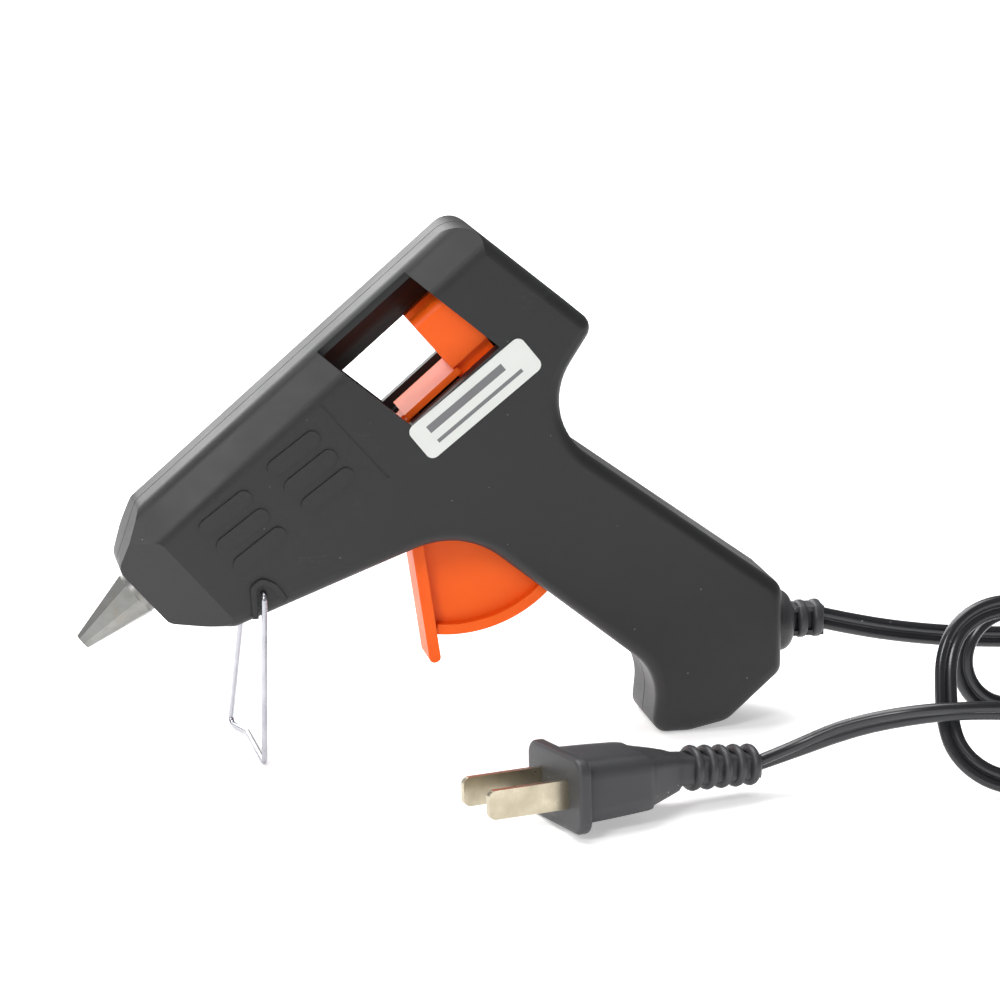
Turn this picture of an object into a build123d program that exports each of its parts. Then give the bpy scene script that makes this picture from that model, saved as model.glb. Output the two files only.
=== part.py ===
from build123d import *
import math
import os

# Hot-melt glue gun for 7 mm sticks, standing on its wire and the foot of its
# handle. Millimetres and degrees, +Z up, nozzle towards -X, the gun's own left
# side towards -Y. The origin is on the table under the middle of the gun.
#
# Most pieces are drawn in the barrel's frame: u runs back along the barrel axis
# from the nozzle's tip, y across, v up from the axis. stand_up() then tilts and
# lifts them to where they stand.

# ---------------------------------------------------------------- dimensions
PITCH = 40.8                 # slope of the barrel axis while the gun stands
TIP_X, TIP_Z = -87.2, 27.1   # nozzle tip, standing

# Housing
BODY_HALF = 12.5             # half the thickness of the housing
WALL = 2.0
BARREL_TOP = 16.2            # v of the flat top
TOP_HALF = 7.6               # half the width of the flat top
TOP_DROP = 8.0               # height of the slope beside it
NOSE_FACE = 17.7             # u of the flat nose
NOSE_HALF = 7.2              # half the width of the nose
NOSE_END = 29.5              # u where the nose reaches full thickness
EDGE_ROUND = 3.0
SEAM = 0.35                  # width and depth of the groove on the parting line
NOSE_BORE_R = 6.2

# Raised bars on the sides and the hoop round the stand's hole
PAD_ROWS = [(44.4, -2.5), (64.6, -2.9)]
PAD_SIZE = (14.0, 3.8)
PAD_PITCH, PAD_TILT, PAD_RISE = 5.8, 4.0, 0.4
HOOP_WIDE, HOOP_RISE = 1.3, 0.7
SINK_U, SINK_V = (76.3, 76.9), (-16.0, 8.0)   # faint line moulded across the side

# Windows over the stick's path: (front top u, rear top u, top v, bottom v)
NEAR_WINDOW = (83.6, 110.1, 15.4, -11.0)
FAR_WINDOW = (84.7, 110.7, 3.4, -8.6)
WINDOW_LEAN = 0.172          # u gained per mm down, as on the rear face

# Melting chamber and nozzle
STICK_R = 3.5
BORE_R = 3.6
CHAMBER_R = 6.0
CHAMBER_U = (18.6, 60.0)
SPIGOT_R = 5.0
SPIGOT_LEN = 5.0
PAD_U = (27.0, 53.0)         # flat pad for the heater
PAD_HALF = 5.0
PAD_V = -8.0
NOZZLE_BASE_R = 5.7
NOZZLE_TIP_R = 1.95
NOZZLE_SIDES = 8
ORIFICE_R = 0.9

# Heater pack under the chamber, outermost last
HEATER_LEN, HEATER_WIDE = 21.0, 8.0
HEATER_MID = 40.0            # u of its middle
FILM, ELECTRODE, PILL = 0.2, 0.3, 2.2
CLIP_SHEET = 0.6

# Inlet
SLEEVE_U = (55.2, 73.0)
SLEEVE_R = 6.0
GUIDE_U = 121.0              # front of the guide tube in the rear wall
GUIDE_R = 5.8
INLET_R = 3.8

# Trigger
PIVOT_U, PIVOT_V = 83.6, -32.9
PIN_R = 1.5
RUN_CLEAR = 0.05             # radial running clearance on pins
PULL = 26.0                  # trigger travel
RIM_R = 32.0                 # outside of the curved guard
GUARD = (38.0, 97.0)         # directions of its two ends, below the pivot
BLADE_FRONT = [(-12.7, 50.0), (-8.0, 18.4)]   # front face of the blade, standing
BLADE_THICK = 2.7
BLADE_HALF, RIM_HALF, WEB_HALF = 5.0, 4.0, 1.7
SLOT_HALF = 5.5              # half the slot that the trigger works in

# Feed carriage
DRIVE_V = -12.6              # height of the drive peg
PEG_R = 1.5
DRIVE_ARM = DRIVE_V - PIVOT_V
PEG_U = PIVOT_U + DRIVE_ARM * math.tan(math.radians(PULL / 2))
CARRIAGE_U = (103.6, 114.0)
CARRIAGE_HALF = 7.0
CRADLE_V = (-8.9, 5.2)       # underside and top of the cradle round the stick
CRADLE_SLOT = 2.6            # half the width of its open top
RUNNER_U = 88.5              # front edge of the runner plate
RUNNER_V = (-11.0, -9.4)
KEEL_HALF = 5.5
RAIL_V = (-14.2, -12.0)      # gap between the rails

JAW_U, JAW_V = 110.0, -8.6
JAW_PIN_R = 1.0

# Stand
STAND_U, STAND_V = 38.2, -16.4
WIRE_R = 0.65
LEG_Y = (14.4, 15.8)         # legs at the hole and at the foot

# Cord: flat twin flex, its gland and plug
CORD_R = 2.2                 # plain tube as thick as the flex is on average
GLAND_Z = 22.6               # height of the gland on the butt's rear face
BUTT_X = 74.5                # rear face of the butt
HANK_MID = (150.6, -46.0, 21.5)
PLUG_AT = (6.4, -70.0, 9.0)
PLUG_TURN, PLUG_DROOP, PLUG_ROLL = 13.5, 0.3, -4.0
TAIL_DROOP = 4.5             # the ribbed tail sags a little
WAIST_X, TAIL_LEN = 30.0, 19.5
FLANGE = (3.0, 25.6, 16.6)
BLADE_LEN, BLADE_GAP = 18.6, 12.7
BLADE_SIZE = (1.5, 6.35)

PARTS = {}


# ------------------------------------------------------------------- helpers
def stand_up(shape):
    """From the barrel's frame to the standing gun."""
    return Pos(TIP_X, 0, TIP_Z) * Rot(0, -PITCH, 0) * shape


def to_barrel(x, z):
    """Barrel coordinates of a point of the standing gun."""
    p = math.radians(PITCH)
    dx, dz = x - TIP_X, z - TIP_Z
    return (dx * math.cos(p) + dz * math.sin(p), dz * math.cos(p) - dx * math.sin(p))


def to_stand(u, v):
    """Standing coordinates of a barrel point."""
    p = math.radians(PITCH)
    return (TIP_X + u * math.cos(p) - v * math.sin(p), TIP_Z + u * math.sin(p) + v * math.cos(p))


def add(name, shape, standing=False):
    """Keep a piece under its node name, stood up unless it already is."""
    PARTS[name] = shape if standing else stand_up(shape)


def box(u0, u1, y0, y1, v0, v1):
    return Pos((u0 + u1) / 2, (y0 + y1) / 2, (v0 + v1) / 2) * Box(u1 - u0, y1 - y0, v1 - v0)


def rod_u(u0, u1, r, y=0.0, v=0.0):
    """Cylinder along the barrel."""
    return Pos((u0 + u1) / 2, y, v) * Rot(0, 90, 0) * Cylinder(r, u1 - u0)


def rod_y(y0, y1, r, u=0.0, v=0.0):
    """Cylinder across the barrel."""
    return Pos(u, (y0 + y1) / 2, v) * Rot(90, 0, 0) * Cylinder(r, y1 - y0)


def side_plate(points, y0, y1):
    """Plate with the given (u, v) corners, from y0 to y1."""
    face = make_face(Polyline(*points, close=True))
    return Pos(0, y0, 0) * extrude(Plane.XZ * face, -(y1 - y0))


def polar(radius, degrees, centre=(PIVOT_U, PIVOT_V)):
    """Point at an angle below +u round a centre, in standing directions."""
    a = math.radians(degrees + PITCH)
    return (centre[0] + radius * math.cos(a), centre[1] - radius * math.sin(a))


def rounded_face(corners):
    """Face from (u, v, radius) corners."""
    points = [(u, v) for u, v, _ in corners]
    radii = [r for _, _, r in corners]
    return make_face(FilletPolyline(*points, radius=radii, close=True))


# ------------------------------------------------------------------- housing
# Corners of the side outline (u, v, radius): nose, top, rear, handle, butt,
# handle front, trigger arch and underside.
OUTLINE = [
    (NOSE_FACE, 8.6, 3.2),
    (30.7, BARREL_TOP, 3.6),
    (127.3, BARREL_TOP, 7.0),
    (134.2, -22.6, 3.6),
    (109.9, -29.9, 16.0),
    (*to_barrel(BUTT_X, 33.9), 5.0),
    (*to_barrel(BUTT_X, 13.4), 3.4),
    (*to_barrel(61.6, 1.9), 6.0),
    (*to_barrel(52.6, 0.0), 8.0),
    (*to_barrel(43.6, 0.0), 3.1),
    (*to_barrel(44.9, 14.5), 13.0),
    (*to_barrel(-1.55, 51.6), 20.0),
    (28.2, -18.6, 3.6),
    (NOSE_FACE, -8.6, 3.2),
]

LABEL_LEN, LABEL_HIGH, LABEL_THICK = 33.2, 9.2, 0.25
LABEL_MID = (102.9, -16.0)
LABEL_TURN = 2.0             # stuck on slightly askew

SCREWS = [(41.0, 10.6), (62.0, -21.5), (125.0, -16.0), (109.0, -67.0), (92.5, -99.5)]
SCREW_R, SCREW_HEAD_R = 1.2, 2.5
BOSS_R = 2.7


def barrel_section(inset):
    """Cross-section that slopes the shoulders beside the flat top."""
    half, top = BODY_HALF - inset, BARREL_TOP - inset
    flat = TOP_HALF - inset / 2
    corners = [(-half, -150, 0), (half, -150, 0), (half, top - TOP_DROP, 5.0),
               (flat, top, 4.0), (-flat, top, 4.0), (-half, top - TOP_DROP, 5.0)]
    return extrude(Plane.YZ * rounded_face(corners), 160)


def nose_plan(inset):
    """Plan that narrows the housing to its nose."""
    half, wide = NOSE_HALF - inset, BODY_HALF - inset + 0.1
    slope = (NOSE_FACE, NOSE_END)
    points = [(0, half), (slope[0], half), (slope[1], wide), (170, wide),
              (170, -wide), (slope[1], -wide), (slope[0], -half), (0, -half)]
    return Pos(0, 0, -150) * extrude(make_face(Polyline(*points, close=True)), 180)


def housing_block():
    """Outside of the closed housing."""
    block = extrude(Plane.XZ * rounded_face(OUTLINE), BODY_HALF, both=True)
    sides = block.faces().sort_by(Axis.Y)
    rims = sides[0].edges() + sides[-1].edges()
    return fillet(rims, EDGE_ROUND) & barrel_section(0) & nose_plan(0)


def housing_cavity():
    """Space inside the walls."""
    inner = offset(rounded_face(OUTLINE), amount=-WALL)
    room = extrude(Plane.XZ * inner, BODY_HALF - WALL, both=True)
    return room & barrel_section(WALL) & nose_plan(WALL)


def seam_groove():
    """Shallow groove all round the parting line."""
    face = rounded_face(OUTLINE)
    ring = face - offset(face, amount=-SEAM)
    return extrude(Plane.XZ * ring, SEAM / 2, both=True)


def window(spec, side):
    """Leaning window through one side wall."""
    front, rear, top, bottom = spec
    lean = WINDOW_LEAN * (top - bottom)
    points = [(front, top), (rear, top), (rear + lean, bottom), (front + lean, bottom)]
    y0, y1 = (-BODY_HALF - 1, -BODY_HALF + WALL + 4) if side < 0 else (BODY_HALF - WALL - 1, BODY_HALF + 1)
    return side_plate(points, y0, y1)


def trigger_slot():
    """Wedge that the trigger sweeps through the arch and the handle's front."""
    angles = [118, 105, 90, 75, 60, 45, 30, 18]
    points = [(PIVOT_U, PIVOT_V), polar(16.5, 152), polar(18.0, 134)] + [polar(RIM_R + 1.2, a) for a in angles]
    return side_plate(points, -SLOT_HALF, SLOT_HALF)


def ribs(cavity):
    """Walls inside the housing that hold the chamber, sleeve, rails and spring."""
    saddles = [(23.0, 25.0, -15.5), (61.2, 62.4, -13.0), (66.0, 68.0, -15.5)]
    parts = []
    for u0, u1, foot in saddles:
        rib = box(u0, u1, -BODY_HALF, BODY_HALF, foot, 13.0) - rod_u(u0 - 1, u1 + 1, CHAMBER_R + 0.1)
        parts.append(rib & cavity)
    guide = rod_u(GUIDE_U, 131.0, GUIDE_R) - rod_u(GUIDE_U - 1, 135.0, INLET_R)
    bridge = box(GUIDE_U, 124.0, -BODY_HALF, BODY_HALF, -2.0, 2.0) - rod_u(GUIDE_U - 1, 130.0, GUIDE_R - 0.5)
    parts += [guide & cavity, bridge & cavity]
    for v0, v1 in ((RAIL_V[0] - 1.0, RAIL_V[0]), (RAIL_V[1], RAIL_V[1] + 0.8)):
        for y0, y1 in ((-BODY_HALF, -8.2), (8.2, BODY_HALF)):
            parts.append(box(84.0, 120.0, y0, y1, v0, v1) & cavity)
    return parts


def stand_boss(side):
    """Raised hoop over the stand's hole, open where the leg swings."""
    x, z = to_stand(STAND_U, STAND_V)
    hoop = [(-1.8, -5.8), (-2.3, 1.3), (-0.3, 2.9), (2.5, 1.5), (5.0, -2.0)]
    points = [to_barrel(x + dx, z + dz) for dx, dz in hoop]
    band = trace(FilletPolyline(*points, radius=[1.0, 1.4, 1.4]), HOOP_WIDE)
    rise = BODY_HALF + HOOP_RISE
    return Pos(0, -rise if side < 0 else BODY_HALF - 0.6, 0) * extrude(Plane.XZ * band, -HOOP_RISE - 0.6)


def cooling_pads(side):
    """Two rows of raised bars on the side of the barrel."""
    pads = []
    for mid_u, mid_v in PAD_ROWS:
        for row in (-1, 0, 1):
            bar = Plane.XZ * (Rot(0, 0, -PAD_TILT) * SlotOverall(*PAD_SIZE))
            y = -BODY_HALF - PAD_RISE if side < 0 else BODY_HALF - 0.5
            pads.append(Pos(mid_u, y, mid_v + row * PAD_PITCH) * extrude(bar, -PAD_RISE - 0.5))
    return pads


def shell(side):
    """One half of the housing: side -1 is the left shell, +1 the right."""
    cavity = housing_cavity()
    block = housing_block()
    half = box(-5, 160, -30 if side < 0 else 0, 0 if side < 0 else 30, -150, 40)
    wall = (block - cavity - seam_groove()) & half
    for rib in ribs(cavity):
        wall += rib & half
    far = side * (BODY_HALF - WALL + 0.6)
    bosses = [rod_y(*sorted((far, side * 5.8)), 3.2, PIVOT_U, PIVOT_V)]
    for u, v in SCREWS:
        bosses.append(rod_y(*sorted((far, side * 0.02)), BOSS_R, u, v))
        if side > 0:
            bosses.append(rod_y(7.0, far, SCREW_HEAD_R + 1.2, u, v))
    for boss in bosses:
        wall += boss & block
    wall -= rod_u(NOSE_FACE - 3, NOSE_FACE + WALL + 3, NOSE_BORE_R)
    wall -= rod_u(GUIDE_U - 1, 140, INLET_R)
    wall -= trigger_slot()
    wall -= rod_y(*sorted((side * 11.0, side * 4.0)), PIN_R + 0.01, PIVOT_U, PIVOT_V)
    wall += stand_boss(side)
    for pad in cooling_pads(side):
        wall += pad
    wall -= rod_y(*sorted((side * 9.0, side * 15.0)), WIRE_R + 0.05, STAND_U, STAND_V)
    for u, v in SCREWS:
        if side < 0:
            wall -= rod_y(-8.6, 0.5, SCREW_R + 0.02, u, v)
        else:
            wall -= rod_y(-0.5, 14.0, SCREW_R + 0.25, u, v)
            wall -= rod_y(8.6, 14.0, SCREW_HEAD_R + 0.25, u, v)
    wall -= Pos(0, side * BODY_HALF, 0) * box(*SINK_U, -0.2, 0.2, *SINK_V)
    u, v = to_barrel(BUTT_X, GLAND_Z)
    wall -= Pos(u, 0, v) * Rot(0, PITCH, 0) * Rot(0, 90, 0) * Cylinder(3.6, 14)
    return wall - window(NEAR_WINDOW if side < 0 else FAR_WINDOW, side)


def housing_screws():
    """Self-tapping screws in from the right side."""
    group = []
    for u, v in SCREWS:
        head = rod_y(8.65, 10.4, SCREW_HEAD_R, u, v)
        head -= box(u - 1.6, u + 1.6, 9.6, 11.0, v - 0.3, v + 0.3)
        head -= box(u - 0.3, u + 0.3, 9.6, 11.0, v - 1.6, v + 1.6)
        group.append(head + rod_y(-7.0, 8.7, SCREW_R, u, v))
    return Compound(children=group)


def rating_label():
    face = RectangleRounded(LABEL_LEN, LABEL_HIGH, 1.8)
    sheet = Plane.XZ * (Rot(0, 0, -LABEL_TURN) * face)
    return Pos(LABEL_MID[0], -BODY_HALF, LABEL_MID[1]) * extrude(sheet, LABEL_THICK)


# -------------------------------------------------- melting chamber and heater
def nozzle():
    """Faceted cast cone with a threaded stub behind it."""
    base = Plane(origin=(NOSE_FACE - 1.4, 0, 0), x_dir=(0, 1, 0), z_dir=(-1, 0, 0))
    tip = Plane(origin=(0, 0, 0), x_dir=(0, 1, 0), z_dir=(-1, 0, 0))
    cone = loft([base * RegularPolygon(NOZZLE_BASE_R, NOZZLE_SIDES),
                 tip * RegularPolygon(NOZZLE_TIP_R, NOZZLE_SIDES)])
    cone += rod_u(NOSE_FACE - 1.4, CHAMBER_U[0], NOZZLE_BASE_R - 0.4)
    cone += rod_u(CHAMBER_U[0], CHAMBER_U[0] + 6.5, 3.4)
    cone -= rod_u(-1, 15.0, ORIFICE_R)
    cone -= rod_u(14.5, 30.0, 1.9)
    return cone


def check_ball():
    return Pos(16.2, 0, 0) * Sphere(1.5)


def ball_spring():
    """Light spring that keeps the ball on its seat."""
    start, turns, wire, radius = 18.2, 5, 0.2, 1.2
    path = Helix(1.35, 1.35 * turns, radius)
    coil = sweep(Plane(origin=path @ 0, z_dir=path % 0) * Circle(wire), path=path)
    return Pos(start, 0, 0) * Rot(0, 90, 0) * coil


def melt_chamber():
    """Cast tube with a pad below for the heater and a stub for the sleeve."""
    u0, u1 = CHAMBER_U
    body = rod_u(u0, u1 - SPIGOT_LEN, CHAMBER_R) + rod_u(u1 - SPIGOT_LEN, u1, SPIGOT_R)
    body += box(*PAD_U, -PAD_HALF, PAD_HALF, PAD_V, 0)
    body -= rod_u(u0 - 1, u0 + 6.52, 3.42)
    body -= rod_u(u0, u0 + 10, 2.0)
    body -= rod_u(u0 + 9, u1 + 1, BORE_R)
    return body


def heater_pack():
    """Pill between two electrodes in insulating film, held on by the clip."""
    u0, u1 = HEATER_MID - HEATER_LEN / 2, HEATER_MID + HEATER_LEN / 2
    half = HEATER_WIDE / 2
    films, plates = [], []
    v = PAD_V
    films.append(box(u0 - 1.5, u1 + 1.5, -half - 0.8, half + 0.8, v - FILM, v))
    v -= FILM
    plates.append(box(u0 - 0.5, u1 + 3.0, -half, half, v - ELECTRODE, v))
    v -= ELECTRODE
    pill = box(u0, u1, -half, half, v - PILL, v)
    v -= PILL
    plates.append(box(u0 - 0.5, u1 + 3.0, -half, half, v - ELECTRODE, v))
    v -= ELECTRODE
    films.append(box(u0 - 1.5, u1 + 1.5, -half - 0.8, half + 0.8, v - FILM, v))
    v -= FILM
    add("heater_pill", pill)
    add("heater_electrodes", Compound(children=plates))
    add("heater_film", Compound(children=films))
    add("heater_clip", heater_clip(v))


def heater_clip(v):
    """Spring-steel channel that grips the chamber and presses the pack up."""
    u0, u1, half = HEATER_MID - 8.0, HEATER_MID + 8.0, CHAMBER_R + 0.4
    clip = box(u0, u1, -half - CLIP_SHEET, half + CLIP_SHEET, v - CLIP_SHEET, v)
    for side in (-1, 1):
        clip += box(u0, u1, *sorted((side * half, side * (half + CLIP_SHEET))), v, 5.2)
        clip += box(u0, u1, *sorted((side * 4.4, side * (half + CLIP_SHEET))), 5.2, 5.2 + CLIP_SHEET)
    return clip


def inlet_sleeve():
    """Silicone tube that seals the stick where it enters the chamber."""
    u0, u1 = SLEEVE_U
    sleeve = rod_u(u0, u1, SLEEVE_R) - rod_u(u0 - 1, CHAMBER_U[1] + 0.1, SPIGOT_R + 0.03)
    return sleeve - rod_u(u0, u1 + 1, INLET_R)


def sleeve_clip():
    """Sheet band round the sleeve with a crimped ear."""
    band = rod_u(56.5, 59.5, SLEEVE_R + 0.55) - rod_u(56, 60, SLEEVE_R + 0.01)
    return band + box(57.0, 59.0, -1.0, 1.0, SLEEVE_R + 0.3, SLEEVE_R + 2.0)


# --------------------------------------------------------- trigger and stand
def ring_sector(r_in, r_out, a0, a1, half):
    """Part of a flat ring round the trigger's pivot, between two directions."""
    mid = (a0 + a1) / 2
    outer = ThreePointArc(polar(r_out, a0), polar(r_out, mid), polar(r_out, a1))
    inner = ThreePointArc(polar(r_in, a1), polar(r_in, mid), polar(r_in, a0))
    loop = [outer, Line(outer @ 1, inner @ 0), inner, Line(inner @ 1, outer @ 0)]
    return extrude(Plane.XZ * make_face(Wire(loop)), half, both=True)


def blade():
    """Flat finger plate that slopes back towards its rounded tip."""
    (x0, z0), (x1, z1) = BLADE_FRONT
    length = math.hypot(x1 - x0, z1 - z0)
    back = BLADE_THICK * (z0 - z1) / length
    rise = BLADE_THICK * (x1 - x0) / length
    corners = [(x0, z0), (x1, z1), (x1 + back, z1 + rise), (x0 + back, z0 + rise)]
    plate = side_plate([to_barrel(x, z) for x, z in corners], -BLADE_HALF, BLADE_HALF)
    tip = min(plate.faces(), key=lambda face: to_stand(face.center().X, face.center().Z)[1])
    return fillet(tip.edges().filter_by(Axis.Y), BLADE_THICK / 2 - 0.1)


def trigger():
    """Blade, curved guard, web, hub and the fork that drives the carriage."""
    web = ring_sector(1.0, RIM_R - 1.0, *GUARD, WEB_HALF)
    brace = [(-2.4, 60.0), (-5.6, 59.0), (-11.5, 49.0), (-7.6, 24.9), (-2.4, 26.0)]
    web += side_plate([to_barrel(x, z) for x, z in brace], -WEB_HALF, WEB_HALF)
    rim = ring_sector(RIM_R - 2.4, RIM_R, *GUARD, RIM_HALF)
    lever = web + rim + blade() + rod_y(-5.3, 5.3, 3.4, PIVOT_U, PIVOT_V)
    for side in (-1, 1):
        arm = box(-2.9, 2.9, *sorted((side * 2.7, side * 4.7)), 0, DRIVE_ARM + 1.2)
        arm -= box(-PEG_R - 0.12, PEG_R + 0.12, -6, 6, DRIVE_ARM - 2.1, DRIVE_ARM + 3)
        lever += Pos(PIVOT_U, 0, PIVOT_V) * Rot(0, PULL / 2, 0) * arm
    return lever - rod_y(-6, 6, PIN_R + RUN_CLEAR, PIVOT_U, PIVOT_V)


def trigger_pin():
    return rod_y(-9.9, 9.9, PIN_R, PIVOT_U, PIVOT_V)


def return_spring():
    """Compression spring between the front bulkhead and the carriage's lug."""
    start, end, turns, wire, radius = 68.3, PEG_U - 3.1, 7, 0.25, 1.8
    path = Helix((end - start - 2 * wire) / turns, end - start - 2 * wire, radius)
    coil = sweep(Plane(origin=path @ 0, z_dir=path % 0) * Circle(wire), path=path)
    return Pos(start + wire, 0, DRIVE_V) * Rot(0, 90, 0) * coil


def feed_carriage():
    """Open-topped cradle round the stick, runner plate, keel with wings, and drive pegs."""
    u0, u1 = CARRIAGE_U
    cradle = box(u0, u1, -CARRIAGE_HALF, CARRIAGE_HALF, *CRADLE_V)
    ridges = cradle.edges().filter_by(Axis.X).sort_by(Axis.Z)[-2:]
    cradle = fillet(ridges, 2.5) - box(u0 - 1, u1 + 1, -CRADLE_SLOT, CRADLE_SLOT, 0, 9)
    keel = box(u0, u1, -KEEL_HALF, KEEL_HALF, RAIL_V[0] + 0.15, CRADLE_V[0] + 1)
    wings = box(u0, u1, -9.9, 9.9, RAIL_V[0] + 0.15, RAIL_V[1] - 0.15)
    runner = box(RUNNER_U, u0 + 1, -CARRIAGE_HALF, CARRIAGE_HALF, *RUNNER_V)
    lug = box(PEG_U - 3.0, PEG_U + 3.0, -2.4, 2.4, DRIVE_V - 2.2, RUNNER_V[0] + 0.5)
    pegs = rod_y(-4.9, 4.9, PEG_R, PEG_U, DRIVE_V)
    body = cradle + keel + wings + runner + lug + pegs
    body -= rod_u(u0 - 1, u1 + 1, INLET_R + 0.2)
    body -= box(u0 + 1.2, u1 + 1, -2.2, 2.2, RAIL_V[1] - 0.5, 0)
    return body - rod_y(-4.8, 6.0, JAW_PIN_R + 0.01, JAW_U, JAW_V)


def grip_jaw():
    """Toothed lever that tips up to bite the stick."""
    points = [(JAW_U - 1.9, JAW_V - 1.6), (JAW_U + 1.6, JAW_V - 1.8), (JAW_U + 2.0, JAW_V + 1.0),
              (JAW_U - 1.4, -4.9), (JAW_U - 2.2, -4.4), (JAW_U - 2.8, -5.2), (JAW_U - 3.6, -4.5),
              (JAW_U - 4.2, -5.6), (JAW_U - 4.2, -6.6)]
    return side_plate(points, -2.0, 2.0) - rod_y(-3, 3, JAW_PIN_R + RUN_CLEAR, JAW_U, JAW_V)


def jaw_pin():
    return rod_y(-4.7, 5.4, JAW_PIN_R, JAW_U, JAW_V)


def wire_stand():
    """Bent wire: two legs, a base that rests on the table, in-turned ends."""
    x, z = to_stand(STAND_U, STAND_V)
    y_in = 9.8
    top, foot = LEG_Y
    points = [(x, -y_in, z), (x, -top, z), (x - 0.8, -foot, WIRE_R),
              (x - 1.6, 6.5, WIRE_R + 0.5), (x - 4.3, foot, WIRE_R),
              (x, top, z), (x, y_in, z)]
    path = FilletPolyline(*points, radius=[1.3, 1.6, 3.0, 1.6, 1.3])
    return sweep(Plane(origin=path @ 0, z_dir=path % 0) * Circle(WIRE_R), path=path)


# ------------------------------------------------------------ cord and plug
def gland():
    """Strain relief: inner collar, neck, dome and two ribs on a flat spine."""
    x, z = BUTT_X, GLAND_Z
    inside = Pos(x - WALL - 1.1, 0, z) * Rot(0, 90, 0) * Cylinder(5.0, 2.0)
    neck = Pos(x - 1.0, 0, z) * Rot(0, 90, 0) * Cylinder(3.5, 3.0)
    dome = Pos(x + 2.45, 0, z) * Rot(0, 90, 0) * Cylinder(7.3, 4.8)
    dome = fillet(dome.edges().sort_by(Axis.X)[-1], 2.9)
    spine = Pos(x + 8.4, 0, z) * Box(8.6, 5.6, 7.0)
    spine -= Pos(x + 8.0, 0, z) * Box(7.2, 8.0, 4.6) - Pos(x + 8.0, 0, z) * Box(8.0, 3.2, 5.0)
    body = inside + neck + dome + spine
    for offset_x in (7.5, 11.2):
        rib = Pos(x + offset_x, 0, z) * Rot(0, 90, 0) * Cylinder(4.5, 2.4)
        body += fillet(rib.edges(), 0.9)
    return body


def tube(points, radius):
    """Plain tube along straight runs and tangent arcs, its radii printed."""
    pts = [Vector(*p) for p in points]
    radii = []
    for a, b, c in zip(pts, pts[1:], pts[2:]):
        turn = (b - a).get_angle(c - b)
        shorter = min((b - a).length, (c - b).length)
        radii.append(0.45 * shorter / math.tan(math.radians(turn / 2)))
    path = FilletPolyline(*points, radius=radii)
    solid = sweep(Plane(origin=path @ 0, z_dir=path % 0) * Circle(radius), path=path)
    print("radii", [round(r, 1) for r in radii], "length", round(path.length, 1),
          "volume", round(solid.volume, 1), "section x length",
          round(math.pi * radius ** 2 * path.length, 1))
    return solid


GUN_RUN = [(BUTT_X + 12.7, 0, 22.5), (95.3, 0, 20.3), (107.5, 0.2, 17.7), (121, 0.2, 15.8),
           (135, 0.6, 14.6), (148, -1.4, 14.6), (157.5, -8.5, 16.0), (161, -19, 18.0), (158, -30.5, 20.5)]
PLUG_RUN = [(62.6, -58.0, 9.4), (74.5, -62.8, 15.4), (88, -69.2, 19.6), (101, -71.6, 20.4),
            (114, -70.8, 18.9), (126.8, -66.6, 19.3), (137.6, -60.1, 20.4)]


def hank():
    """Outer shape of the tied hank: two upright loops gathered at a tie."""
    x, y, z = HANK_MID
    side = [(-54, -9), (-54, 9), (-44, 21.2), (-28, 21.2), (-6, 8.0), (6, 8.0), (28, 21.2), (44, 21.2),
            (54, 9), (54, -9), (44, -21.2), (28, -21.2), (6, -8.0), (-6, -8.0), (-28, -21.2), (-44, -21.2)]
    plan = [(-54, -22.5), (-54, 15), (-30, 15), (-6, 8.0), (6, 8.0), (30, 15), (54, 15),
            (54, -17), (30, -17), (6, -8.0), (-6, -8.0), (-30, -22.5)]
    profile = make_face(Polyline(*side, close=True))
    spread = make_face(Polyline(*plan, close=True))
    tall = Pos(0, 40, 0) * extrude(Plane.XZ * profile, 80)
    wide = Pos(0, 0, -30) * extrude(spread, 60)
    return Pos(x, y, z) * (tall & wide)


def cord_tie():
    """Twist tie round the middle of the hank."""
    x, y, z = HANK_MID
    ring = Box(5.0, 18.4, 18.4) - Box(6.0, 16.05, 16.05)
    tail = Pos(0, -4.0, 10.4) * Box(3.2, 1.4, 3.0)
    return Pos(x, y, z) * (ring + tail)


def plug_place(shape):
    """From the plug's frame, +X towards the cord, to where it lies."""
    return Pos(*PLUG_AT) * Rot(0, 0, PLUG_TURN) * Rot(0, PLUG_DROOP, 0) * Rot(PLUG_ROLL, 0, 0) * shape


def tail_place(shape):
    """From the tail's frame, which starts at the waist, to the plug's frame."""
    return Pos(WAIST_X, 0, 0) * Rot(0, TAIL_DROOP, 0) * shape


def plug_exit():
    """Point where the cord leaves the tail."""
    return tuple(plug_place(tail_place(Pos(TAIL_LEN, 0, 0))).position)


def cross(x, width, height, corner):
    """Rounded rectangle across the plug at x."""
    plane = Plane(origin=(x, 0, 0), x_dir=(0, 1, 0), z_dir=(1, 0, 0))
    return plane * RectangleRounded(width, height, corner)


def plug_body():
    """Moulded grip: block behind the flange, waist and ribbed tail."""
    body = loft([cross(FLANGE[0], 20.5, 13.6, 2.5), cross(19.0, 17.5, 12.2, 3.0)])
    body += loft([cross(19.0, 17.5, 12.2, 3.0), cross(WAIST_X + 1.0, 9.0, 7.6, 2.5)])
    tail = Pos(TAIL_LEN / 2, 0, 0) * Box(TAIL_LEN, 6.2, 4.6)
    for i in range(5):
        rib = Pos(3.4 + 3.6 * i, 0, 0) * Rot(0, 90, 0) * Cylinder(5.0 - 0.12 * i, 2.0)
        tail += fillet(rib.edges(), 0.6)
    return plug_place(body + tail_place(tail))


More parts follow.
